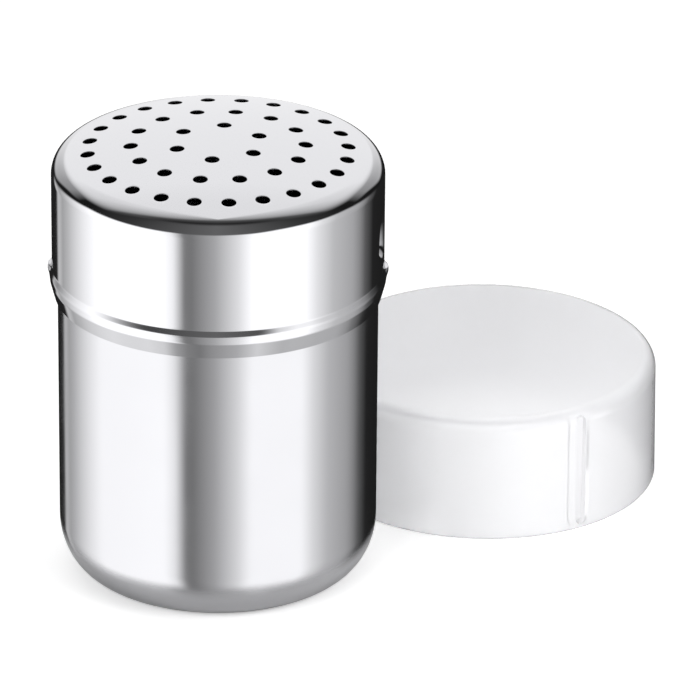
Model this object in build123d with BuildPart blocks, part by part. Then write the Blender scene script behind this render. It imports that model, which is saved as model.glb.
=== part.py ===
# Hand shaker for spices and powdered sugar, in three pieces: a deep-drawn steel container, a
# perforated steel lid that turns shut on it with a bayonet, and a clear plastic cap that keeps
# the contents fresh. The cap is off and stands beside the shaker.
# Millimetres, +Z up, with the origin on the shaker's axis where its base rests.

import os
from math import acos, cos, degrees, radians, sin, sqrt, tan

from build123d import *

# Sheet steel of the container and the lid
sheet = 0.5
shaker_height = 89.7

# Container: straight body, rounded base corner, necked in under the lid
body_radius = 31.4
base_corner_width = 7.4
base_corner_height = 10.4
shoulder_lean = 50.0  # how far the shoulder slopes in from the wall, in degrees
shoulder_rounding = 0.8
neck_rounding = 0.6
shoulder_cover = 0.8  # how far the lid's edge reaches down over the shoulder
seat_clearance = 0.4

# Lid: domed top, straight wall that stands out over the body, and a band that swells out a
# little under a crease, runs upright and draws in again to the body
lid_depth = 31.6
lid_overhang = 1.1
crown_rise = 3.2
lid_corner_radius = 4.2
band_height = 5.9
band_step = 0.42
band_flare = 17.0  # how far the band swells out from the wall, in degrees
band_upright = 1.3
crease_rounding = 1.0
ridge_rounding = 2.0
hip_rounding = 2.0
edge_clearance = 0.15

# Sieve holes, in rings counted from the outside in
hole_diameter = 2.8
ring_counts = (24, 14, 6)
ring_starts = (5.8, 2.4, 23.3)
ring_pitch = 8.4
ring_edge_margin = 2.9

# Bayonet: two dents in the lid's wall, each ending in a nib above a lanced slit, and the
# L-shaped groove of the neck that each nib runs in
bayonet_count = 2
bayonet_angle = -9.0
dent_depth = 1.2
dent_run_out = 0.6
nib_height = 2.5
nib_depth = 0.8
slit_above_crease = 0.2
neck_clearance = 0.3
nib_clearance = 0.35
groove_below_nib = 0.5
turn_to_lock = 30.0

# Cap: drafted skirt with crowned top, and narrow channels that grip the lid's wall
cap_wall = 1.3
cap_draft = 0.4
cap_crown = 0.8
cap_corner_radius = 3.0
cap_above_crease = 0.5
channel_count = 3
channel_angle = -57.0
channel_width = 1.9
channel_depth = 1.1
channel_foot = 1.2
channel_head = 2.0
grip_clearance = 0.1
cap_gap = 0.88
cap_bearing = 39.0

tool_margin = 2.0  # how far cutting shapes stand out of what they cut

# Lid, worked out from the body that it closes on
band_bottom = shaker_height - lid_depth
crease_height = band_bottom + band_height
lid_radius = body_radius + lid_overhang
ridge_radius = lid_radius + band_step
ridge_height = crease_height - band_step / tan(radians(band_flare))
hip_height = ridge_height - band_upright
edge_radius = body_radius + edge_clearance + sheet
crown_radius = (lid_radius**2 + crown_rise**2) / (2 * crown_rise)
corner_centre_radius = lid_radius - lid_corner_radius
corner_centre_height = (
    shaker_height
    - crown_radius
    + sqrt((crown_radius - lid_corner_radius) ** 2 - corner_centre_radius**2)
)
slit_height = crease_height + slit_above_crease
nib_top = slit_height + nib_height
dent_top = corner_centre_height - dent_run_out

# Container neck, worked out from the lid that goes over it
neck_radius = lid_radius - dent_depth - sheet - neck_clearance
nib_inner = lid_radius - dent_depth - nib_depth - sheet
groove_floor = nib_inner - nib_clearance
groove_bottom = slit_height - groove_below_nib
roof_over_rim = corner_centre_height + sqrt(
    (lid_corner_radius - sheet) ** 2 - (neck_radius - corner_centre_radius) ** 2
)
container_height = roof_over_rim - seat_clearance

# Container shoulder, covered by the lid's edge
shoulder_bottom = band_bottom + shoulder_cover
shoulder_top = shoulder_bottom + (body_radius - neck_radius) / tan(radians(shoulder_lean))

# Cap, worked out from the lid that it presses on to
rib_tip_radius = lid_radius + grip_clearance
channel_floor = rib_tip_radius + cap_wall
cap_rim_radius = channel_floor + channel_depth
cap_height = shaker_height + cap_wall - crease_height - cap_above_crease
cap_distance = ridge_radius + cap_rim_radius + cap_gap
cap_x = cap_distance * cos(radians(cap_bearing))
cap_y = cap_distance * sin(radians(cap_bearing))


def upright(angle, out=0.0, x=0.0, y=0.0):
    # Plane that stands square to a radius at this angle, `out` along that radius from x, y
    ray = Vector(cos(radians(angle)), sin(radians(angle)), 0)
    return Plane(origin=Vector(x, y, 0) + ray * out, x_dir=(-ray.Y, ray.X, 0), z_dir=ray)


def radial(angle):
    # Plane through the shaker's axis: first coordinate outwards, second upwards
    ray = Vector(cos(radians(angle)), sin(radians(angle)), 0)
    return Plane(origin=(0, 0, 0), x_dir=ray, z_dir=(ray.Y, -ray.X, 0))


def round_corner(profile, place, rounding):
    # Rounds the corner of a half section that is nearest to a place in its plane
    fillet(profile.vertices().sort_by_distance(place)[0], rounding)


def container_profile(inset):
    # Half section of the container's skin, moved in by the inset
    body = body_radius - inset
    neck = neck_radius - inset
    foot = body_radius - base_corner_width
    mitre = inset * tan(radians(shoulder_lean) / 2)
    with BuildSketch(Plane.XZ) as profile:
        with BuildLine():
            Line((0, inset), (foot, inset))
            EllipticalCenterArc(
                (foot, base_corner_height),
                base_corner_width - inset,
                base_corner_height - inset,
                start_angle=-90,
                arc_size=90,
            )
            Polyline(
                (body, base_corner_height),
                (body, shoulder_bottom - mitre),
                (neck, shoulder_top - mitre),
                (neck, container_height),
                (0, container_height),
                (0, inset),
            )
        make_face()
        round_corner(profile, (body, shoulder_bottom - mitre), shoulder_rounding - inset)
        round_corner(profile, (neck, shoulder_top - mitre), neck_rounding + inset)
    return profile.sketch


def neck_leg(inset):
    # Section of the groove's level leg: flat floor, with the upper flank at the nib's slope
    floor = groove_floor - inset
    slope = nib_depth / nib_height
    outside = neck_radius + tool_margin
    flank_foot = slit_height
    with BuildSketch(radial(bayonet_angle)) as section:
        with BuildLine():
            Polyline(
                (floor, groove_bottom - inset),
                (floor, flank_foot),
                (outside, flank_foot + (outside - floor) / slope),
                (outside, groove_bottom - inset),
                close=True,
            )
        make_face()
    return section.sketch


def cut_grooves(inset):
    # The L-shaped grooves of the neck: one leg open at the rim, one leg round the neck
    nib_half_angle = degrees(acos(nib_inner / neck_radius))
    end_clearance = degrees(nib_clearance / neck_radius)
    sweep = turn_to_lock + nib_half_angle + end_clearance
    for turn in range(bayonet_count):
        angle = bayonet_angle + turn * 360 / bayonet_count
        with BuildSketch(upright(angle, groove_floor - inset)) as open_leg:
            with Locations((0, (groove_bottom - inset + container_height + tool_margin) / 2)):
                Rectangle(
                    2 * neck_radius,
                    container_height + tool_margin - groove_bottom + inset,
                )
        extrude(open_leg.sketch, amount=body_radius, mode=Mode.SUBTRACT)
        level_leg = neck_leg(inset).rotate(Axis.Z, turn * 360 / bayonet_count)
        revolve(level_leg.faces(), Axis.Z, -sweep, mode=Mode.SUBTRACT)


def lid_profile(inset):
    # Half section of the lid's skin, moved in by the inset
    wall = lid_radius - inset
    ridge = ridge_radius - inset
    mitre = inset * tan(radians(band_flare) / 2)
    crown = crown_radius - inset
    crown_centre = shaker_height - crown_radius
    crown_edge = crown_centre + sqrt(crown**2 - wall**2)
    with BuildSketch(Plane.XZ) as profile:
        with BuildLine():
            RadiusArc((0, crown_centre + crown), (wall, crown_edge), crown)
            Polyline(
                (wall, crown_edge),
                (wall, crease_height - mitre),
                (ridge, ridge_height - mitre),
                (ridge, hip_height),
                (edge_radius - inset, band_bottom),
                (0, band_bottom),
                (0, crown_centre + crown),
            )
        make_face()
        round_corner(profile, (wall, crown_edge), lid_corner_radius - inset)
        round_corner(profile, (wall, crease_height - mitre), crease_rounding + inset)
        round_corner(profile, (ridge, ridge_height - mitre), ridge_rounding - inset)
        round_corner(profile, (ridge, hip_height), hip_rounding - inset)
    return profile.sketch


def cut_dents(inset):
    # Presses the wall in: a long flat facet, then the steeper nib, down to the lanced slit
    nib = lid_radius - dent_depth - nib_depth - inset
    facet = lid_radius - dent_depth - inset
    outside = ridge_radius + tool_margin
    for turn in range(bayonet_count):
        angle = bayonet_angle + turn * 360 / bayonet_count
        with BuildSketch(radial(angle)) as dent:
            with BuildLine():
                Polyline(
                    (nib, slit_height),
                    (facet, nib_top),
                    (lid_radius - inset, dent_top),
                    (outside, dent_top),
                    (outside, slit_height),
                    close=True,
                )
            make_face()
        extrude(dent.sketch, amount=lid_radius / 2, both=True, mode=Mode.SUBTRACT)


def punch_sieve():
    # Rings of holes through the domed top, each ring a pitch inside the last
    outer_ring = corner_centre_radius - ring_edge_margin
    punch_stroke = crown_rise + lid_corner_radius + tool_margin
    for place, (count, start) in enumerate(zip(ring_counts, ring_starts)):
        with BuildSketch(Plane.XY.offset(shaker_height + tool_margin)) as ring:
            with PolarLocations(outer_ring - place * ring_pitch, count, start_angle=start):
                Circle(hole_diameter / 2)
        extrude(ring.sketch, amount=-punch_stroke, mode=Mode.SUBTRACT)


def cap_profile(inset):
    # Half section of the cap's skin, moved in by the inset
    rim = cap_rim_radius - inset
    head = cap_rim_radius - cap_draft - inset
    rise = cap_crown * head / cap_rim_radius
    crown = (head**2 + rise**2) / (2 * rise)
    top = cap_height - inset
    with BuildSketch(Plane.XZ) as profile:
        with BuildLine():
            RadiusArc((0, top), (head, top - rise), crown)
            Polyline((head, top - rise), (rim, 0), (0, 0), (0, top))
        make_face()
        round_corner(profile, (head, top - rise), cap_corner_radius - inset)
    return profile.sketch.moved(Location((cap_x, cap_y, 0)))


def cut_channels(inset):
    # Round-ended upright channels in the skirt, deeper in the cap's core by its wall
    foot = channel_foot - inset
    head = cap_height - channel_head + inset
    for turn in range(channel_count):
        angle = channel_angle + turn * 360 / channel_count
        with BuildSketch(upright(angle, channel_floor - inset, cap_x, cap_y)) as channel:
            with Locations((0, (foot + head) / 2)):
                SlotOverall(head - foot, channel_width + 2 * inset, rotation=90)
        reach = cap_wall + channel_depth + tool_margin
        extrude(channel.sketch, amount=reach, mode=Mode.SUBTRACT)


def write(part, name):
    part.label = name
    export_step(part, f"parts/{name}.step")


os.makedirs("parts", exist_ok=True)

with BuildPart() as container_core:
    revolve(container_profile(sheet).faces())
    cut_grooves(sheet)

with BuildPart() as container:
    revolve(container_profile(0).faces())
    cut_grooves(0)
    add(container_core.part, mode=Mode.SUBTRACT)
write(container.part, "container")

with BuildPart() as lid_core:
    revolve(lid_profile(sheet).faces())
    cut_dents(sheet)

with BuildPart() as lid:
    revolve(lid_profile(0).faces())
    cut_dents(0)
    add(lid_core.part, mode=Mode.SUBTRACT)
    punch_sieve()
write(lid.part, "sieve_lid")

cap_axis = Axis((cap_x, cap_y, 0), (0, 0, 1))

with BuildPart() as cap_core:
    revolve(cap_profile(cap_wall).faces(), cap_axis)
    cut_channels(cap_wall)

with BuildPart() as cap:
    revolve(cap_profile(0).faces(), cap_axis)
    cut_channels(0)
    add(cap_core.part, mode=Mode.SUBTRACT)
write(cap.part, "freshness_cap")
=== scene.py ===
from math import acos, cos, degrees, hypot, pi, radians, sin, sqrt, tan

import bmesh
import bpy
from mathutils import Matrix, Vector


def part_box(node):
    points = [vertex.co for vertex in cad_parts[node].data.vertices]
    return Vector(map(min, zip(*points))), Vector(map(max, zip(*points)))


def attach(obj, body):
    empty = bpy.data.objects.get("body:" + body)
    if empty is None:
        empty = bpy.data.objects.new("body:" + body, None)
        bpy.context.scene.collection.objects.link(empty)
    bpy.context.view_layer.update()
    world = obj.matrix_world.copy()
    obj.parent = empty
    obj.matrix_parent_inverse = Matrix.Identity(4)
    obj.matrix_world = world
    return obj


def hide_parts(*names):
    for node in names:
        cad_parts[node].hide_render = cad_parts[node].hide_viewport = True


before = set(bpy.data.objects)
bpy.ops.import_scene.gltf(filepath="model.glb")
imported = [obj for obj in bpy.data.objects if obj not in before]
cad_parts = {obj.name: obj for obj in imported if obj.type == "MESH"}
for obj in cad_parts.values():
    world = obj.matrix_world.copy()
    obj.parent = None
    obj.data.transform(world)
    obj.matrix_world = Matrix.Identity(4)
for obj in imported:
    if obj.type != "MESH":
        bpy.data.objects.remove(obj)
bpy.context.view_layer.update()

mm = 0.001
print("frame loaded")


def linearColour(code):  # sRGB hex to linear, with alpha 1
    shares = [int(code[place : place + 2], 16) / 255 for place in (1, 3, 5)]
    return [c / 12.92 if c <= 0.04045 else ((c + 0.055) / 1.055) ** 2.4 for c in shares] + [1]


def addNode(tree, kind, settings=None, inputs=(), output=0):  # gives back one of its outputs
    node = tree.nodes.new(kind)
    for name, value in (settings or {}).items():
        setattr(node, name, value)
    for key, value in inputs.items() if isinstance(inputs, dict) else enumerate(inputs):
        if isinstance(value, bpy.types.NodeSocket):
            tree.links.new(value, node.inputs[key])
        else:
            node.inputs[key].default_value = value
    return node.outputs[output] if node.outputs else None


def newMaterial(name):
    material = bpy.data.materials.new(name)
    material.use_nodes = True
    material.node_tree.nodes.clear()
    return material, material.node_tree


viewpoint = {
    "place": (25.92, -1249.17, 621.42),
    "tiltDown": 24.757,
    "roll": 0.528,
    "lens": 360,
    "sensor": 36,
}

cameraData = bpy.data.cameras.new("camera")
cameraData.lens = viewpoint["lens"]
cameraData.sensor_width = viewpoint["sensor"]
camera = bpy.data.objects.new("camera", cameraData)
camera.matrix_world = (
    Matrix.Translation(Vector(viewpoint["place"]) * mm)
    @ Matrix.Rotation(radians(90 - viewpoint["tiltDown"]), 4, "X")
    @ Matrix.Rotation(radians(viewpoint["roll"]), 4, "Z")
)
bpy.context.scene.collection.objects.link(camera)
bpy.context.scene.camera = camera
bpy.context.scene.view_settings.view_transform = "Standard"
print("camera placed")

studio = {
    "floorSide": 6000,
    "floorColour": "#f2f2f2",
    "floorGlow": 0.4,
    "mirroredFloor": (31, 42),  # the steel mirrors the sweep only this near to its axis
    "mirroredPaintedShade": 0.25,  # and that much darker for mirrored rays: painted shade, standing in for the shaker's shadow on it
    # What the steel mirrors round it below the horizon: azimuth from the front, brightness
    "cards": (
        (-180, 0.01),
        (-148, 0.02),
        (-144, 0.64),
        (-140, 0.6),
        (-135, 0.46),
        (-126, 0.62),
        (-107, 1.1),
        (-92, 1.45),
        (-38, 1.5),
        (-30, 1.22),
        (-22, 0.26),
        (-17, 0.24),
        (-1, 0.52),
        (15, 1.0),
        (25, 1.45),
        (64, 1.45),
        (74, 1.04),
        (88, 0.68),
        (108, 0.5),
        (116, 0.34),
        (124, 0.13),
        (136, 0.02),
        (180, 0.01),
    ),
    # Further down, where the table lies
    "table": (
        (-180, 1.2),
        (-150, 1.2),
        (-138, 0.9),
        (-125, 0.6),
        (-110, 0.55),
        (-89, 0.75),
        (-60, 0.93),
        (-46, 0.84),
        (-36, 0.45),
        (-26, 0.28),
        (-15, 0.24),
        (-5, 0.36),
        (18, 0.54),
        (36, 0.86),
        (58, 0.56),
        (100, 0.52),
        (115, 0.55),
        (130, 0.9),
        (150, 1.2),
        (180, 1.2),
    ),
    "tableFrom": (-34, -54),
    # Dark room over the horizon, by the azimuth to either side
    "room": ((0, 0.16), (30, 0.1), (60, 0.045), (95, 0.012), (180, 0.012)),
    "roomTop": (48, 64),
    "roomTopShare": 0.2,
    # Light panel overhead, by how far behind the shaker it is met at unit height
    "panel": (
        (-0.45, 0),
        (-0.22, 0.06),
        (-0.13, 0.14),
        (-0.05, 0.34),
        (0.07, 0.5),
        (0.25, 0.66),
        (0.6, 0.87),
        (1.0, 0.95),
        (1.4, 1.06),
    ),
    "panelSides": (0.7, 2.3),
    "lowestRay": 0.05,  # rays flatter than this meet the panel as if they rose this much
    # Pale wall behind, by the azimuth to either side, and its foot
    "wall": ((105, 0), (122, 0.33), (135, 0.42), (150, 0.62), (170, 1.0)),
    "wallFoot": (9, -5),
    "wallFootDrops": (118, 145),
    # Height of the horizon over its lowest place, by azimuth
    "horizon": (
        (-180, 0),
        (-140, 0),
        (-95, 15),
        (-58, 15),
        (0, 14),
        (25, 16),
        (42, 20),
        (55, 20),
        (75, 17),
        (95, 15),
        (140, 0),
        (180, 0),
    ),
    "horizonLowest": -12,
    "horizonBlur": 4,
    # Soft boxes for what isn't polished: place, side length and watts
    "softBoxes": {
        "key": ((-800, -1100, 900), 900, 12),
        "fill": ((950, -950, 700), 900, 5.5),
        "top": ((0, 100, 1300), 1200, 3),
        "near": ((125, -115, 135), 90, 0.12),  # for the cap, where the shaker shades it
    },
}


def addRamp(tree, value, stops):  # brightness that follows a value, from (value, brightness) stops
    low, high = stops[0][0], stops[-1][0]
    share = addNode(tree, "ShaderNodeMapRange", inputs=[value, low, high])
    colour = addNode(tree, "ShaderNodeValToRGB", inputs=[share])
    ramp = colour.node.color_ramp
    for where, brightness in stops[1:-1]:
        ramp.elements.new((where - low) / (high - low))
    for stop, (_, brightness) in zip(ramp.elements, stops):
        stop.color = (brightness, brightness, brightness, 1)
    return colour


def blendBetween(tree, value, low, high, first, second):  # eases from the first to the second
    share = addNode(
        tree, "ShaderNodeMapRange", {"interpolation_type": "SMOOTHSTEP"}, [value, low, high]
    )
    return addNode(tree, "ShaderNodeMix", inputs={0: share, 2: first, 3: second})


def seenDirectly(tree):  # 1 for what the camera sees, also through clear plastic
    path = addNode(tree, "ShaderNodeLightPath").node.outputs
    rays = [path["Is Camera Ray"], path["Is Transmission Ray"]]
    return addNode(tree, "ShaderNodeMath", {"operation": "MAXIMUM"}, rays)


def makeStudioWorld():
    world = bpy.data.worlds.new("studio")
    world.use_nodes = True
    tree = world.node_tree
    tree.nodes.clear()
    ray = addNode(tree, "ShaderNodeTexCoord", output="Generated")
    x, y, z = addNode(tree, "ShaderNodeSeparateXYZ", inputs=[ray]).node.outputs
    towards = addNode(tree, "ShaderNodeMath", {"operation": "MULTIPLY"}, [y, -1.0])
    turn = addNode(tree, "ShaderNodeMath", {"operation": "ARCTAN2"}, [x, towards])
    azimuth = addNode(tree, "ShaderNodeMath", {"operation": "DEGREES"}, [turn])
    tilt = addNode(tree, "ShaderNodeMath", {"operation": "ARCSINE"}, [z])
    elevation = addNode(tree, "ShaderNodeMath", {"operation": "DEGREES"}, [tilt])
    sideways = addNode(tree, "ShaderNodeMath", {"operation": "ABSOLUTE"}, [azimuth])

    cards = addRamp(tree, azimuth, studio["cards"])
    table = addRamp(tree, azimuth, studio["table"])
    low = blendBetween(tree, elevation, *studio["tableFrom"], cards, table)

    room = addRamp(tree, sideways, studio["room"])
    faint = addNode(
        tree, "ShaderNodeMath", {"operation": "MULTIPLY"}, [room, studio["roomTopShare"]]
    )
    dim = blendBetween(tree, elevation, *studio["roomTop"], room, faint)
    height = addNode(tree, "ShaderNodeMath", {"operation": "MAXIMUM"}, [z, studio["lowestRay"]])
    behind = addNode(tree, "ShaderNodeMath", {"operation": "DIVIDE"}, [y, height])
    panel = addRamp(tree, behind, studio["panel"])
    aside = addNode(tree, "ShaderNodeMath", {"operation": "DIVIDE"}, [x, height])
    spread = addNode(tree, "ShaderNodeMath", {"operation": "ABSOLUTE"}, [aside])
    lit = blendBetween(tree, spread, *studio["panelSides"], panel, 0.0)
    overhead = addNode(tree, "ShaderNodeMath", {"operation": "ADD"}, [dim, lit])

    blur = studio["horizonBlur"]
    wallFoot = blendBetween(tree, sideways, *studio["wallFootDrops"], *studio["wallFoot"])
    overWallFoot = addNode(tree, "ShaderNodeMath", {"operation": "SUBTRACT"}, [elevation, wallFoot])
    pale = addRamp(tree, sideways, studio["wall"])
    wall = blendBetween(tree, overWallFoot, -blur, blur, 0.0, pale)
    high = addNode(tree, "ShaderNodeMath", {"operation": "MAXIMUM"}, [overhead, wall])

    overLowest = addNode(
        tree, "ShaderNodeMath", {"operation": "SUBTRACT"}, [elevation, studio["horizonLowest"]]
    )
    horizon = addRamp(tree, azimuth, studio["horizon"])
    overHorizon = addNode(tree, "ShaderNodeMath", {"operation": "SUBTRACT"}, [overLowest, horizon])
    seen = blendBetween(tree, overHorizon, -blur, blur, low, high)

    shown = addNode(tree, "ShaderNodeMix", inputs={0: seenDirectly(tree), 2: seen, 3: 1.0})
    light = addNode(tree, "ShaderNodeBackground", inputs=[shown, 1.0])
    addNode(tree, "ShaderNodeOutputWorld", inputs=[light])
    bpy.context.scene.world = world


def makeFloor():
    material, tree = newMaterial("white_paper_sweep")
    colour = linearColour(studio["floorColour"])
    glow = addNode(
        tree, "ShaderNodeMath", {"operation": "MULTIPLY"}, [seenDirectly(tree), studio["floorGlow"]]
    )
    paper = addNode(tree, "ShaderNodeBsdfDiffuse", inputs={"Color": colour})
    shine = addNode(tree, "ShaderNodeEmission", inputs={"Strength": glow})
    isGlossy = addNode(tree, "ShaderNodeLightPath", output="Is Glossy Ray")
    # Painted shade: for mirrored rays the near floor is mixed with black, standing in for the
    # shaker's shadow on it
    shade = addNode(
        tree, "ShaderNodeMath", {"operation": "MULTIPLY"}, [isGlossy, studio["mirroredPaintedShade"]]
    )
    paintedShadeBlack = addNode(tree, "ShaderNodeBsdfDiffuse", inputs={"Color": linearColour("#000000")})
    shaded = addNode(tree, "ShaderNodeMixShader", inputs=[shade, paper, paintedShadeBlack])
    both = addNode(tree, "ShaderNodeAddShader", inputs=[shaded, shine])
    # A mirrored ray passes through the far floor, on to the cards
    place = addNode(tree, "ShaderNodeTexCoord", output="Object")
    away = addNode(tree, "ShaderNodeVectorMath", {"operation": "LENGTH"}, [place], "Value")
    near, far = studio["mirroredFloor"]
    gone = blendBetween(tree, away, near * mm, far * mm, 0.0, 1.0)
    passing = addNode(tree, "ShaderNodeMath", {"operation": "MULTIPLY"}, [gone, isGlossy])
    clear = addNode(tree, "ShaderNodeBsdfTransparent")
    floorLook = addNode(tree, "ShaderNodeMixShader", inputs=[passing, both, clear])
    addNode(tree, "ShaderNodeOutputMaterial", inputs=[floorLook])

    half = studio["floorSide"] / 2 * mm
    mesh = bpy.data.meshes.new("floor")
    corners = [(-half, -half, 0), (half, -half, 0), (half, half, 0), (-half, half, 0)]
    mesh.from_pydata(corners, [], [(0, 1, 2, 3)])
    mesh.materials.append(material)
    floor = bpy.data.objects.new("floor", mesh)
    bpy.context.scene.collection.objects.link(floor)


def makeSoftBoxes():  # they light what scatters light, and the polished steel doesn't mirror them
    for name, (place, side, watts) in studio["softBoxes"].items():
        lamp = bpy.data.lights.new(name, "AREA")
        lamp.size = side * mm
        lamp.energy = watts
        box = bpy.data.objects.new(name, lamp)
        aim = Vector(place).to_track_quat("Z", "Y")
        box.matrix_world = Matrix.Translation(Vector(place) * mm) @ aim.to_matrix().to_4x4()
        box.visible_glossy = False
        bpy.context.scene.collection.objects.link(box)


makeStudioWorld()
makeFloor()
makeSoftBoxes()
print("studio lit")


def roundedPath(corners, steps=6):  # corners are (radius, height, rounding)
    path = [Vector(corners[0][:2])]
    for before, here, after in zip(corners, corners[1:], corners[2:]):
        point = Vector(here[:2])
        rounding = here[2]
        if rounding == 0:
            path.append(point)
            continue
        back = (Vector(before[:2]) - point).normalized()
        onward = (Vector(after[:2]) - point).normalized()
        turn = pi - back.angle(onward)
        reach = rounding * tan(turn / 2)
        centre = point + (back + onward).normalized() * (rounding / cos(turn / 2))
        start = point + back * reach - centre
        end = point + onward * reach - centre
        path += [
            centre + start.slerp(end, step / steps).normalized() * rounding
            for step in range(steps + 1)
        ]
    path.append(Vector(corners[-1][:2]))
    return path


def spaced(start, end, count):  # evenly spaced values, both ends included
    return [start + (end - start) * step / (count - 1) for step in range(count)]


def turnedSkin(mesh, path, angles, press=None):  # skin that closes round the Z axis, from the top
    build = bmesh.new()
    rows = []
    for radius, height in path:
        row = []
        for angle in angles:
            reach = press(radius, angle, height) if press else radius
            row.append(
                build.verts.new((reach * cos(angle) * mm, reach * sin(angle) * mm, height * mm))
            )
        rows.append(row)
    for upper, lower in zip(rows, rows[1:]):
        for place in range(len(angles)):
            after = (place + 1) % len(angles)
            build.faces.new((upper[place], lower[place], lower[after], upper[after]))
    bmesh.ops.remove_doubles(build, verts=build.verts, dist=1e-7)
    build.to_mesh(mesh)
    build.free()


def easedStep(value, low, high):
    share = min(max((value - low) / (high - low), 0), 1)
    return share * share * (3 - 2 * share)


def angleFrom(angle, middle):  # signed turn from the middle angle, in radians
    return (angle - middle + pi) % (2 * pi) - pi


def closerColumns(middles, halfTurn, close, wide):  # columns that stand closer round some angles
    gap = 360 / len(middles)
    turns = spaced(-halfTurn, halfTurn, round(2 * halfTurn / close) + 1)
    turns += spaced(halfTurn, gap - halfTurn, round((gap - 2 * halfTurn) / wide) + 1)[1:-1]
    return [radians(middle + turn) for middle in middles for turn in turns]


def newPiece(name, material):
    mesh = bpy.data.meshes.new(name)
    mesh.materials.append(material)
    piece = bpy.data.objects.new(name, mesh)
    bpy.context.scene.collection.objects.link(piece)
    return piece


def addModifier(piece, kind, settings):
    modifier = piece.modifiers.new(kind.lower(), kind)
    for name, value in settings.items():
        setattr(modifier, name, value)
    return modifier


def bakeModifiers(piece):  # what the modifiers make becomes the piece's plain mesh
    depsgraph = bpy.context.evaluated_depsgraph_get()
    baked = bpy.data.meshes.new_from_object(piece.evaluated_get(depsgraph))
    piece.modifiers.clear()
    piece.data = baked


def shadeSmooth(piece, sharpAngle):
    piece.data.shade_smooth()
    piece.data.set_sharp_from_angle(angle=radians(sharpAngle))
    addModifier(piece, "WEIGHTED_NORMAL", {"keep_sharp": True, "weight": 100})
    bakeModifiers(piece)


steelLook = {
    "lidColour": "#dcdcdf",
    "lidRoughness": (0.05, 0.09),
    "bodyColour": "#d2d2d5",
    "bodyRoughness": (0.10, 0.16),
    "smearSize": 14,
    "smearRange": (0.35, 0.65),
    "lineSpacing": 0.5,  # real polishing lines are under 0.05 mm apart, too fine to show
    "lineDepth": 0.0004,
}


def makeSteel(name, colour, roughness):
    # Deep-drawn 18/10 stainless steel, lathe-polished: a mirror with faint lines round the axis
    material, tree = newMaterial(name)
    place = addNode(tree, "ShaderNodeTexCoord", output="Object")
    smear = addNode(
        tree,
        "ShaderNodeTexNoise",
        inputs={"Vector": place, "Scale": 1 / (steelLook["smearSize"] * mm), "Detail": 3.0},
    )
    gloss = addNode(
        tree, "ShaderNodeMapRange", inputs=[smear, *steelLook["smearRange"], *roughness]
    )
    x, y, z = addNode(tree, "ShaderNodeSeparateXYZ", inputs=[place]).node.outputs
    flat = addNode(tree, "ShaderNodeCombineXYZ", inputs=[x, y])
    out = addNode(tree, "ShaderNodeVectorMath", {"operation": "LENGTH"}, [flat], "Value")
    along = addNode(tree, "ShaderNodeMath", {"operation": "SUBTRACT"}, [z, out])
    lines = addNode(
        tree,
        "ShaderNodeTexNoise",
        {"noise_dimensions": "1D"},
        {"W": along, "Scale": 1 / (steelLook["lineSpacing"] * mm), "Detail": 4.0},
    )
    relief = addNode(
        tree,
        "ShaderNodeBump",
        inputs={"Height": lines, "Distance": steelLook["lineDepth"] * mm, "Strength": 1.0},
    )
    shader = addNode(
        tree,
        "ShaderNodeBsdfPrincipled",
        inputs={
            "Base Color": linearColour(colour),
            "Metallic": 1.0,
            "Roughness": gloss,
            "Normal": relief,
        },
    )
    addNode(tree, "ShaderNodeOutputMaterial", inputs=[shader])
    return material


containerLow, containerHigh = (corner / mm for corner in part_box("container"))
container = {"radius": (containerHigh.x - containerLow.x) / 2, "rim": containerHigh.z}
lidLow, lidHigh = (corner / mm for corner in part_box("sieve_lid"))
lid = {
    "sheet": 0.5,
    "crownRise": 3.2,
    "cornerRadius": 4.2,
    "overhang": 1.1,
    "bandHeight": 5.9,
    "bandStep": 0.42,
    "bandFlare": 17,
    "bandUpright": 1.3,
    "creaseRounding": 1.0,
    "ridgeRounding": 2.0,
    "hipRounding": 2.0,
    "edgeClearance": 0.15,
    "neckGap": 1.5,
    "dentAngle": -7.5,
    "dentAboveCrease": 5.6,
    "dentHalfWidth": 4.4,
    "dentRunOut": 9.5,
    "dentFoot": 3.2,
    "dentDepth": 1.8,
    "lipStep": 0.65,
    "lipBelowCrease": 0.3,
    "lipReachUp": 0.3,
    "lipReachDown": 2.4,
    "lipTurns": (1, 4.5),
    "crownRows": 22,
    "cornerRows": 16,
    "dentRows": 40,
    "rowsOverCrease": (1.0, 0.4),
    "rowsUnderCrease": (0.3, 0.5, 0.7, 0.9),
    "dentColumnTurn": 0.3,
    "columnTurn": 1.25,
    "sharpAngle": 35,
}
lid["top"] = lidHigh.z
lid["foot"] = lidLow.z
lid["radius"] = container["radius"] + lid["overhang"]
lid["ridge"] = lid["radius"] + lid["bandStep"]
lid["neck"] = lid["radius"] - lid["sheet"] - lid["neckGap"]
lid["edge"] = container["radius"] + lid["edgeClearance"] + lid["sheet"]
lid["crease"] = lid["foot"] + lid["bandHeight"]
lid["dent"] = lid["crease"] + lid["dentAboveCrease"]
lid["dentAngles"] = (lid["dentAngle"], lid["dentAngle"] + 180)
lid["crownRadius"] = (lid["radius"] ** 2 + lid["crownRise"] ** 2) / (2 * lid["crownRise"])
lid["crownCentre"] = lid["top"] - lid["crownRadius"]
lid["cornerCentre"] = lid["radius"] - lid["cornerRadius"]
lid["cornerHeight"] = lid["crownCentre"] + sqrt(
    (lid["crownRadius"] - lid["cornerRadius"]) ** 2 - lid["cornerCentre"] ** 2
)


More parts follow.
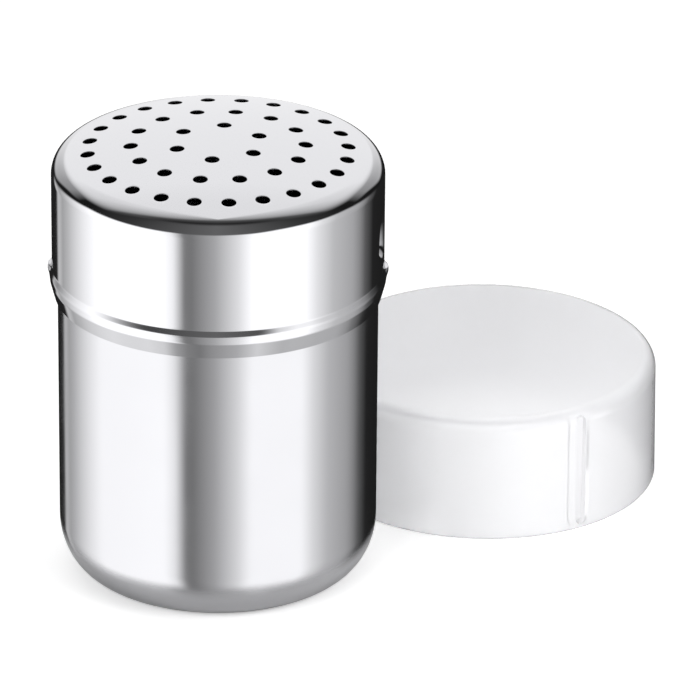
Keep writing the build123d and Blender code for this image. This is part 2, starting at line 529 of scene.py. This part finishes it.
def lidPath():
    radius, ridge = lid["radius"], lid["ridge"]
    corner, cornerCentre = lid["cornerRadius"], lid["cornerCentre"]
    crown = lid["crownRadius"]
    crownEdge = acos((lid["cornerHeight"] - lid["crownCentre"]) / (crown - corner))
    path = [
        Vector((crown * sin(slope), lid["crownCentre"] + crown * cos(slope)))
        for slope in spaced(0, crownEdge, lid["crownRows"])
    ]
    path += [
        Vector((cornerCentre + corner * sin(slope), lid["cornerHeight"] + corner * cos(slope)))
        for slope in spaced(crownEdge, pi / 2, lid["cornerRows"])[1:]
    ]
    dentTop, dentFoot = lid["dent"] + lid["dentRunOut"], lid["dent"] - lid["dentFoot"]
    path += [Vector((radius, height)) for height in spaced(dentTop, dentFoot, lid["dentRows"])]

    flare = tan(radians(lid["bandFlare"]))
    ridgeHeight = lid["crease"] - lid["bandStep"] / flare
    path += roundedPath(
        [
            *((radius, lid["crease"] + rise, 0) for rise in lid["rowsOverCrease"]),
            (radius, lid["crease"], lid["creaseRounding"]),
            *((radius + drop * flare, lid["crease"] - drop, 0) for drop in lid["rowsUnderCrease"]),
            (ridge, ridgeHeight, lid["ridgeRounding"]),
            (ridge, ridgeHeight - lid["bandUpright"], lid["hipRounding"]),
            (lid["edge"], lid["foot"], 0),
        ]
    )
    return path


def pressWall(radius, angle, height):  # a bayonet dent on both sides, and a lip below each
    if height > lid["cornerHeight"]:
        return radius
    for side in (0, 180):
        aside = angleFrom(angle, radians(lid["dentAngle"] + side)) * lid["radius"]
        over = height - lid["dent"]
        upright = over / (lid["dentRunOut"] if over > 0 else lid["dentFoot"])
        away = hypot(aside / lid["dentHalfWidth"], upright)
        radius -= lid["dentDepth"] * easedStep(-away, -1, 0)
        over = height - lid["crease"] + lid["lipBelowCrease"]
        reach = lid["lipReachUp"] if over > 0 else lid["lipReachDown"]
        turn = abs(degrees(angleFrom(angle, radians(side))))
        full, none = lid["lipTurns"]
        lip = easedStep(-abs(over) / reach, -1, 0) * easedStep(-turn, -none, -full)
        radius += lid["lipStep"] * lip
    return radius


sieve = {
    "holeDiameter": 2.8,
    "holeEdgeRoll": 0.15,
    "ringCounts": (24, 14, 6),
    "ringStarts": (5.8, 2.4, 23.3),
    "ringPitch": 8.4,
    "ringEdgeMargin": 2.9,
    "punchReach": 2.0,
    "punchSides": 40,
    "rollFlare": 10,
    "rollRows": 6,
}


def makePunch():  # round punch whose shoulder rolls the edge of the hole
    hole = sieve["holeDiameter"] / 2
    roll = sieve["holeEdgeRoll"]
    reach = sieve["punchReach"]
    flare = radians(sieve["rollFlare"])
    path = [Vector((0, reach)), Vector((hole + roll + reach * sin(flare), reach))]
    path.append(Vector((hole + roll * (1 - sin(flare)) + roll / 2, roll / 2 * tan(flare))))
    path += [
        Vector((hole + roll - roll * cos(turn), -roll + roll * sin(turn)))
        for turn in spaced(pi / 2 - flare, 0, sieve["rollRows"])
    ]
    path += [Vector((hole, -reach)), Vector((0, -reach))]
    punch = newPiece("punch", None)
    angles = spaced(0, 2 * pi, sieve["punchSides"] + 1)[:-1]
    turnedSkin(punch.data, path, angles)
    return punch


def addInputs(tree, sizes):  # named inputs of a geometry tree, after its geometry
    tree.interface.new_socket("Geometry", in_out="INPUT", socket_type="NodeSocketGeometry")
    tree.interface.new_socket("Geometry", in_out="OUTPUT", socket_type="NodeSocketGeometry")
    kinds = {float: "NodeSocketFloat", int: "NodeSocketInt"}
    for name, value in sizes.items():
        kind = kinds.get(type(value)) or "NodeSocket" + type(value).__name__
        tree.interface.new_socket(name, in_out="INPUT", socket_type=kind)
    return tree.nodes.new("NodeGroupInput").outputs


def applyTree(piece, tree, sizes):
    modifier = piece.modifiers.new(tree.name, "NODES")
    modifier.node_group = tree
    for item in tree.interface.items_tree:
        if item.in_out == "INPUT" and item.name in sizes:
            modifier[item.identifier] = sizes[item.name]


def sieveTree(sizes):  # rings of punches stand on the crown and are cut out of it
    tree = bpy.data.node_groups.new("punchSieve", "GeometryNodeTree")
    given = addInputs(tree, sizes)
    rings = tree.nodes.new("GeometryNodeJoinGeometry")
    for place in range(len(sieve["ringCounts"])):
        inward = addNode(
            tree, "ShaderNodeMath", {"operation": "MULTIPLY"}, [given["Ring Pitch"], float(place)]
        )
        radius = addNode(
            tree, "ShaderNodeMath", {"operation": "SUBTRACT"}, [given["Outer Ring"], inward]
        )
        ring = addNode(
            tree,
            "GeometryNodeMeshCircle",
            inputs=[given[f"Ring {place + 1} Count"], radius],
        )
        start = addNode(
            tree, "ShaderNodeCombineXYZ", inputs={"Z": given[f"Ring {place + 1} Start"]}
        )
        turned = addNode(
            tree, "GeometryNodeTransform", inputs={"Geometry": ring, "Rotation": start}
        )
        tree.links.new(turned, rings.inputs[0])
    spot = addNode(tree, "GeometryNodeInputPosition")
    crown = given["Crown Radius"]
    square = addNode(
        tree, "ShaderNodeVectorMath", {"operation": "DOT_PRODUCT"}, [spot, spot], "Value"
    )
    crownSquare = addNode(tree, "ShaderNodeMath", {"operation": "MULTIPLY"}, [crown, crown])
    rise = addNode(tree, "ShaderNodeMath", {"operation": "SUBTRACT"}, [crownSquare, square])
    height = addNode(tree, "ShaderNodeMath", {"operation": "SQRT"}, [rise])
    lift = addNode(tree, "ShaderNodeCombineXYZ", inputs={"Z": height})
    onCrown = addNode(
        tree, "GeometryNodeSetPosition", inputs={"Geometry": rings.outputs[0], "Offset": lift}
    )
    upright = addNode(
        tree,
        "FunctionNodeAlignRotationToVector",
        {"axis": "Z"},
        {"Vector": addNode(tree, "GeometryNodeInputPosition")},
    )
    punch = addNode(
        tree, "GeometryNodeObjectInfo", inputs={"Object": given["Punch"]}, output="Geometry"
    )
    punches = addNode(
        tree,
        "GeometryNodeInstanceOnPoints",
        inputs={"Points": onCrown, "Instance": punch, "Rotation": upright},
    )
    centre = addNode(tree, "ShaderNodeCombineXYZ", inputs={"Z": given["Crown Centre"]})
    moved = addNode(
        tree, "GeometryNodeTransform", inputs={"Geometry": punches, "Translation": centre}
    )
    solidPunches = addNode(tree, "GeometryNodeRealizeInstances", inputs=[moved])
    cut = addNode(
        tree,
        "GeometryNodeMeshBoolean",
        {"operation": "DIFFERENCE", "solver": "MANIFOLD"},
        {"Mesh 1": given["Geometry"], "Mesh 2": solidPunches},
    )
    plain = addNode(tree, "GeometryNodeRealizeInstances", inputs=[cut])
    finished = addNode(
        tree,
        "GeometryNodeSetMaterial",
        inputs={"Geometry": plain, "Material": given["Steel"]},
    )
    addNode(tree, "NodeGroupOutput", inputs=[finished])
    return tree


def makeLid():
    material = makeSteel(
        "polished_stainless_lid", steelLook["lidColour"], steelLook["lidRoughness"]
    )
    piece = newPiece("sieve_lid_shell", material)
    dentHalfTurn = degrees(lid["dentHalfWidth"] / lid["radius"])
    angles = closerColumns(
        lid["dentAngles"], dentHalfTurn, lid["dentColumnTurn"], lid["columnTurn"]
    )
    turnedSkin(piece.data, lidPath(), angles, pressWall)
    addModifier(
        piece,
        "SOLIDIFY",
        {"thickness": lid["sheet"] * mm, "offset": -1, "use_even_offset": True},
    )
    punch = makePunch()
    outerRing = lid["cornerCentre"] - sieve["ringEdgeMargin"]
    sizes = {
        "Punch": punch,
        "Steel": material,
        "Outer Ring": outerRing * mm,
        "Ring Pitch": sieve["ringPitch"] * mm,
        "Crown Radius": lid["crownRadius"] * mm,
        "Crown Centre": lid["crownCentre"] * mm,
    }
    for place, (count, start) in enumerate(zip(sieve["ringCounts"], sieve["ringStarts"])):
        sizes[f"Ring {place + 1} Count"] = count
        sizes[f"Ring {place + 1} Start"] = radians(start)
    applyTree(piece, sieveTree(sizes), sizes)
    bakeModifiers(piece)
    bpy.data.objects.remove(punch)
    shadeSmooth(piece, lid["sharpAngle"])
    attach(piece, "lid")
    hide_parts("sieve_lid")
    return piece


lidPiece = makeLid()
print("lid made,", len(lidPiece.data.polygons), "faces")

container.update({
    "sheet": 0.5,
    "baseCornerWidth": 7.4,
    "baseCornerHeight": 10.4,
    "shoulderLean": 50,
    "shoulderRounding": 0.8,
    "neckRounding": 0.6,
    "shoulderCover": 0.8,
    "nibClearance": 0.35,
    "grooveHalfWidth": 2.2,
    "grooveEdge": 0.6,
    "turnToLock": 30,
    "neckFootLead": 1.0,
    "shoulderLead": 1.2,
    "wallStart": 4,
    "grooveRows": 56,
    "wallRows": 8,
    "baseCornerRows": 28,
    "baseRows": 8,
    "grooveMargin": 2,
    "grooveColumnTurn": 0.5,
    "columnTurn": 1.25,
    "sharpAngle": 35,
})
container["neck"] = lid["neck"]
container["shoulder"] = lid["foot"] + container["shoulderCover"]
container["neckFoot"] = container["shoulder"] + (container["radius"] - container["neck"]) / tan(
    radians(container["shoulderLean"])
)
nibReach = lid["radius"] - lid["sheet"] - lid["dentDepth"]
container["grooveDepth"] = container["neck"] - nibReach + container["nibClearance"]


def containerPath():
    radius, neck = container["radius"], container["neck"]
    width, height = container["baseCornerWidth"], container["baseCornerHeight"]
    grooveFoot = lid["dent"] - container["grooveHalfWidth"] - container["grooveEdge"]
    path = [
        Vector((neck, z)) for z in spaced(container["rim"], grooveFoot, container["grooveRows"])
    ]
    path += roundedPath(
        [
            (neck, container["neckFoot"] + container["neckFootLead"], 0),
            (neck, container["neckFoot"], container["neckRounding"]),
            (radius, container["shoulder"], container["shoulderRounding"]),
            (radius, container["shoulder"] - container["shoulderLead"], 0),
        ]
    )
    wallTop = container["shoulder"] - container["wallStart"]
    path += [Vector((radius, z)) for z in spaced(wallTop, height, container["wallRows"])]
    path += [
        Vector((radius - width + width * cos(turn), height - height * sin(turn)))
        for turn in spaced(0, pi / 2, container["baseCornerRows"])[1:]
    ]
    path += [
        Vector((reach, 0)) for reach in spaced(radius - width, 0, container["baseRows"])[1:]
    ]
    return path


def pressGrooves(radius, angle, height):  # L-shaped bayonet grooves, open at the rim
    if height < container["neckFoot"] + container["neckFootLead"]:
        return radius
    sweep = radians(container["turnToLock"]) * container["neck"]
    half, edge = container["grooveHalfWidth"], container["grooveEdge"]
    below = min(height - lid["dent"], 0)
    for dentAngle in lid["dentAngles"]:
        aside = angleFrom(angle, radians(dentAngle)) * container["neck"]
        fromOpenLeg = hypot(aside, below)
        fromLockingLeg = hypot(max(-sweep - aside, aside, 0), height - lid["dent"])
        away = min(fromOpenLeg, fromLockingLeg)
        radius -= container["grooveDepth"] * easedStep(-away, -half - edge / 2, edge / 2 - half)
    return radius


def makeContainer():
    material = makeSteel(
        "polished_stainless_body", steelLook["bodyColour"], steelLook["bodyRoughness"]
    )
    piece = newPiece("container_shell", material)
    halfSweep = container["turnToLock"] / 2
    halfGroove = degrees(container["grooveHalfWidth"] / container["neck"])
    halfTurn = halfSweep + halfGroove + container["grooveMargin"]
    middles = [dentAngle - halfSweep for dentAngle in lid["dentAngles"]]
    angles = closerColumns(
        middles, halfTurn, container["grooveColumnTurn"], container["columnTurn"]
    )
    turnedSkin(piece.data, containerPath(), angles, pressGrooves)
    addModifier(
        piece,
        "SOLIDIFY",
        {"thickness": container["sheet"] * mm, "offset": -1, "use_even_offset": True},
    )
    bakeModifiers(piece)
    shadeSmooth(piece, container["sharpAngle"])
    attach(piece, "container")
    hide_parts("container")
    return piece


containerPiece = makeContainer()
print("container made,", len(containerPiece.data.polygons), "faces")

capLow, capHigh = (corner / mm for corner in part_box("freshness_cap"))
cap = {
    "wall": 1.3,
    "draft": 0.4,
    "crownRise": 0.8,
    "cornerRadius": 3.0,
    "rimRounding": 0.4,
    "channels": 3,
    "firstChannel": -57,
    "channelWidth": 1.9,
    "channelDepth": 1.1,
    "channelFoot": 1.2,
    "channelHead": 2.0,
    "channelFlank": 0.3,
    "columnTurn": 1.5,
    "closeColumnTurn": 0.22,
    "closeHalfTurn": 4.4,
    "crownRows": 12,
    "cornerSteps": 14,
    "cornerLead": 1.1,
    "headLength": 2,
    "headRows": 10,
    "skirtRows": 8,
    "footLength": 4,
    "footRows": 16,
    "skinBlend": 0.3,
    "sharpAngle": 40,
}
cap["x"], cap["y"] = ((capLow + capHigh) / 2)[:2]
cap["radius"] = (capHigh.x - capLow.x) / 2
cap["height"] = capHigh.z
cap["floor"] = cap["radius"] - cap["channelDepth"]


def capSkin(inset):  # from the pole down to the rim
    rim = cap["radius"] - inset
    head = rim - cap["draft"]
    top = cap["height"] - inset
    rounding = cap["cornerRadius"] - inset
    rise = cap["crownRise"] * head / cap["radius"]
    crown = (head**2 + rise**2) / (2 * rise)
    shoulder = top - rise
    skin = [
        (reach, top - crown + sqrt(crown**2 - reach**2), 0)
        for reach in spaced(0, head - 2 * cap["cornerRadius"], cap["crownRows"])
    ]
    skin.append((head, shoulder, rounding))
    under = shoulder - cap["cornerLead"] * rounding
    channelsHead, channelsFoot = under - cap["headLength"], cap["footLength"]
    heights = spaced(under, channelsHead, cap["headRows"])
    heights += spaced(channelsHead, channelsFoot, cap["skirtRows"])[1:]
    heights += spaced(channelsFoot, 2 * cap["rimRounding"], cap["footRows"])[1:]
    skin += [(rim - cap["draft"] * z / shoulder, z, 0) for z in heights]
    return skin


def capPath():
    rim, rounding = cap["radius"], cap["rimRounding"]
    corners = capSkin(0)
    corners += [(rim, 0, rounding), (rim - cap["wall"], 0, rounding)]
    corners += reversed(capSkin(cap["wall"]))
    return roundedPath(corners, cap["cornerSteps"])


def channelTree(sizes):  # presses round-ended upright channels into both skins of the skirt
    tree = bpy.data.node_groups.new("pressChannels", "GeometryNodeTree")
    given = addInputs(tree, sizes)
    spot = addNode(tree, "GeometryNodeInputPosition")
    x, y, z = addNode(tree, "ShaderNodeSeparateXYZ", inputs=[spot]).node.outputs
    flat = addNode(tree, "ShaderNodeCombineXYZ", inputs=[x, y])
    reach = addNode(tree, "ShaderNodeVectorMath", {"operation": "LENGTH"}, [flat], "Value")
    outward = addNode(tree, "ShaderNodeVectorMath", {"operation": "NORMALIZE"}, [flat])
    # How far a point belongs to the inner skin, from where its normal points
    normal = addNode(tree, "GeometryNodeInputNormal")
    facing = addNode(
        tree, "ShaderNodeVectorMath", {"operation": "DOT_PRODUCT"}, [normal, outward], "Value"
    )
    blend = cap["skinBlend"]
    inner = addNode(tree, "ShaderNodeMapRange", inputs=[facing, blend, -blend])
    inset = addNode(tree, "ShaderNodeMath", {"operation": "MULTIPLY"}, [inner, given["Wall"]])
    halfWidth = addNode(tree, "ShaderNodeMath", {"operation": "ADD"}, [given["Half Width"], inset])
    # The point's turn from the nearest channel, and its distance from that channel's line
    halfTurn = addNode(tree, "ShaderNodeMath", {"operation": "DIVIDE"}, [pi, given["Channels"]])
    lowTurn = addNode(tree, "ShaderNodeMath", {"operation": "MULTIPLY"}, [halfTurn, -1.0])
    angle = addNode(tree, "ShaderNodeMath", {"operation": "ARCTAN2"}, [y, x])
    fromFirst = addNode(
        tree, "ShaderNodeMath", {"operation": "SUBTRACT"}, [angle, given["First Channel"]]
    )
    turn = addNode(tree, "ShaderNodeMath", {"operation": "WRAP"}, [fromFirst, halfTurn, lowTurn])
    sine = addNode(tree, "ShaderNodeMath", {"operation": "SINE"}, [turn])
    aside = addNode(tree, "ShaderNodeMath", {"operation": "MULTIPLY"}, [reach, sine])
    nearest = addNode(tree, "ShaderNodeClamp", inputs=[z, given["Line Foot"], given["Line Head"]])
    beyond = addNode(tree, "ShaderNodeMath", {"operation": "SUBTRACT"}, [z, nearest])
    offLine = addNode(tree, "ShaderNodeCombineXYZ", inputs=[aside, beyond])
    fromLine = addNode(tree, "ShaderNodeVectorMath", {"operation": "LENGTH"}, [offLine], "Value")
    outside = addNode(tree, "ShaderNodeMath", {"operation": "SUBTRACT"}, [fromLine, halfWidth])
    flank = given["Half Flank"]
    flankFoot = addNode(tree, "ShaderNodeMath", {"operation": "MULTIPLY"}, [flank, -1.0])
    share = addNode(
        tree,
        "ShaderNodeMapRange",
        {"interpolation_type": "SMOOTHSTEP"},
        [outside, flank, flankFoot],
    )
    # The channel's floor is flat
    straight = addNode(tree, "ShaderNodeMath", {"operation": "SUBTRACT"}, [given["Floor"], inset])
    cosine = addNode(tree, "ShaderNodeMath", {"operation": "COSINE"}, [turn])
    floor = addNode(tree, "ShaderNodeMath", {"operation": "DIVIDE"}, [straight, cosine])
    target = addNode(tree, "ShaderNodeMath", {"operation": "MINIMUM"}, [reach, floor])
    inward = addNode(tree, "ShaderNodeMath", {"operation": "SUBTRACT"}, [target, reach])
    drop = addNode(tree, "ShaderNodeMath", {"operation": "MULTIPLY"}, [inward, share])
    moved = addNode(
        tree, "ShaderNodeVectorMath", {"operation": "SCALE"}, {"Vector": outward, "Scale": drop}
    )
    pressed = addNode(
        tree,
        "GeometryNodeSetPosition",
        inputs={"Geometry": given["Geometry"], "Offset": moved},
    )
    plain = addNode(tree, "GeometryNodeRealizeInstances", inputs=[pressed])
    finished = addNode(
        tree,
        "GeometryNodeSetMaterial",
        inputs={"Geometry": plain, "Material": given["Plastic"]},
    )
    addNode(tree, "NodeGroupOutput", inputs=[finished])
    return tree


plasticLook = {
    "colour": "#fdfdff",
    "ior": 1.49,
    "transmission": 0.6,
    "roughness": (0.12, 0.18),
    "cloudSize": 20,
}


def makePlastic(name):
    # Injection-moulded polypropylene without pigment: milky clear, soft sheen, cloudy inside
    material, tree = newMaterial(name)
    place = addNode(tree, "ShaderNodeTexCoord", output="Object")
    cloud = addNode(
        tree,
        "ShaderNodeTexNoise",
        inputs={"Vector": place, "Scale": 1 / (plasticLook["cloudSize"] * mm), "Detail": 1.0},
    )
    sheen = addNode(tree, "ShaderNodeMapRange", inputs=[cloud, 0.0, 1.0, *plasticLook["roughness"]])
    shader = addNode(
        tree,
        "ShaderNodeBsdfPrincipled",
        inputs={
            "Base Color": linearColour(plasticLook["colour"]),
            "Roughness": sheen,
            "IOR": plasticLook["ior"],
            "Transmission Weight": plasticLook["transmission"],
        },
    )
    addNode(tree, "ShaderNodeOutputMaterial", inputs=[shader])
    return material


def makeCap():
    material = makePlastic("milky_clear_polypropylene")
    piece = newPiece("freshness_cap_shell", material)
    channels = [
        cap["firstChannel"] + place * 360 / cap["channels"] for place in range(cap["channels"])
    ]
    angles = closerColumns(
        channels, cap["closeHalfTurn"], cap["closeColumnTurn"], cap["columnTurn"]
    )
    turnedSkin(piece.data, capPath(), angles)
    halfWidth = cap["channelWidth"] / 2
    sizes = {
        "Channels": cap["channels"],
        "First Channel": radians(cap["firstChannel"]),
        "Half Width": halfWidth * mm,
        "Floor": cap["floor"] * mm,
        "Wall": cap["wall"] * mm,
        "Line Foot": (cap["channelFoot"] + halfWidth) * mm,
        "Line Head": (cap["height"] - cap["channelHead"] - halfWidth) * mm,
        "Half Flank": cap["channelFlank"] / 2 * mm,
        "Plastic": material,
    }
    applyTree(piece, channelTree(sizes), sizes)
    bakeModifiers(piece)
    shadeSmooth(piece, cap["sharpAngle"])
    piece.data.transform(Matrix.Translation(Vector((cap["x"], cap["y"], 0)) * mm))
    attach(piece, "cap")
    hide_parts("freshness_cap")
    piece.visible_glossy = False  # the shaker's dark edge stays clean beside it
    return piece


capPiece = makeCap()
print("cap made,", len(capPiece.data.polygons), "faces")
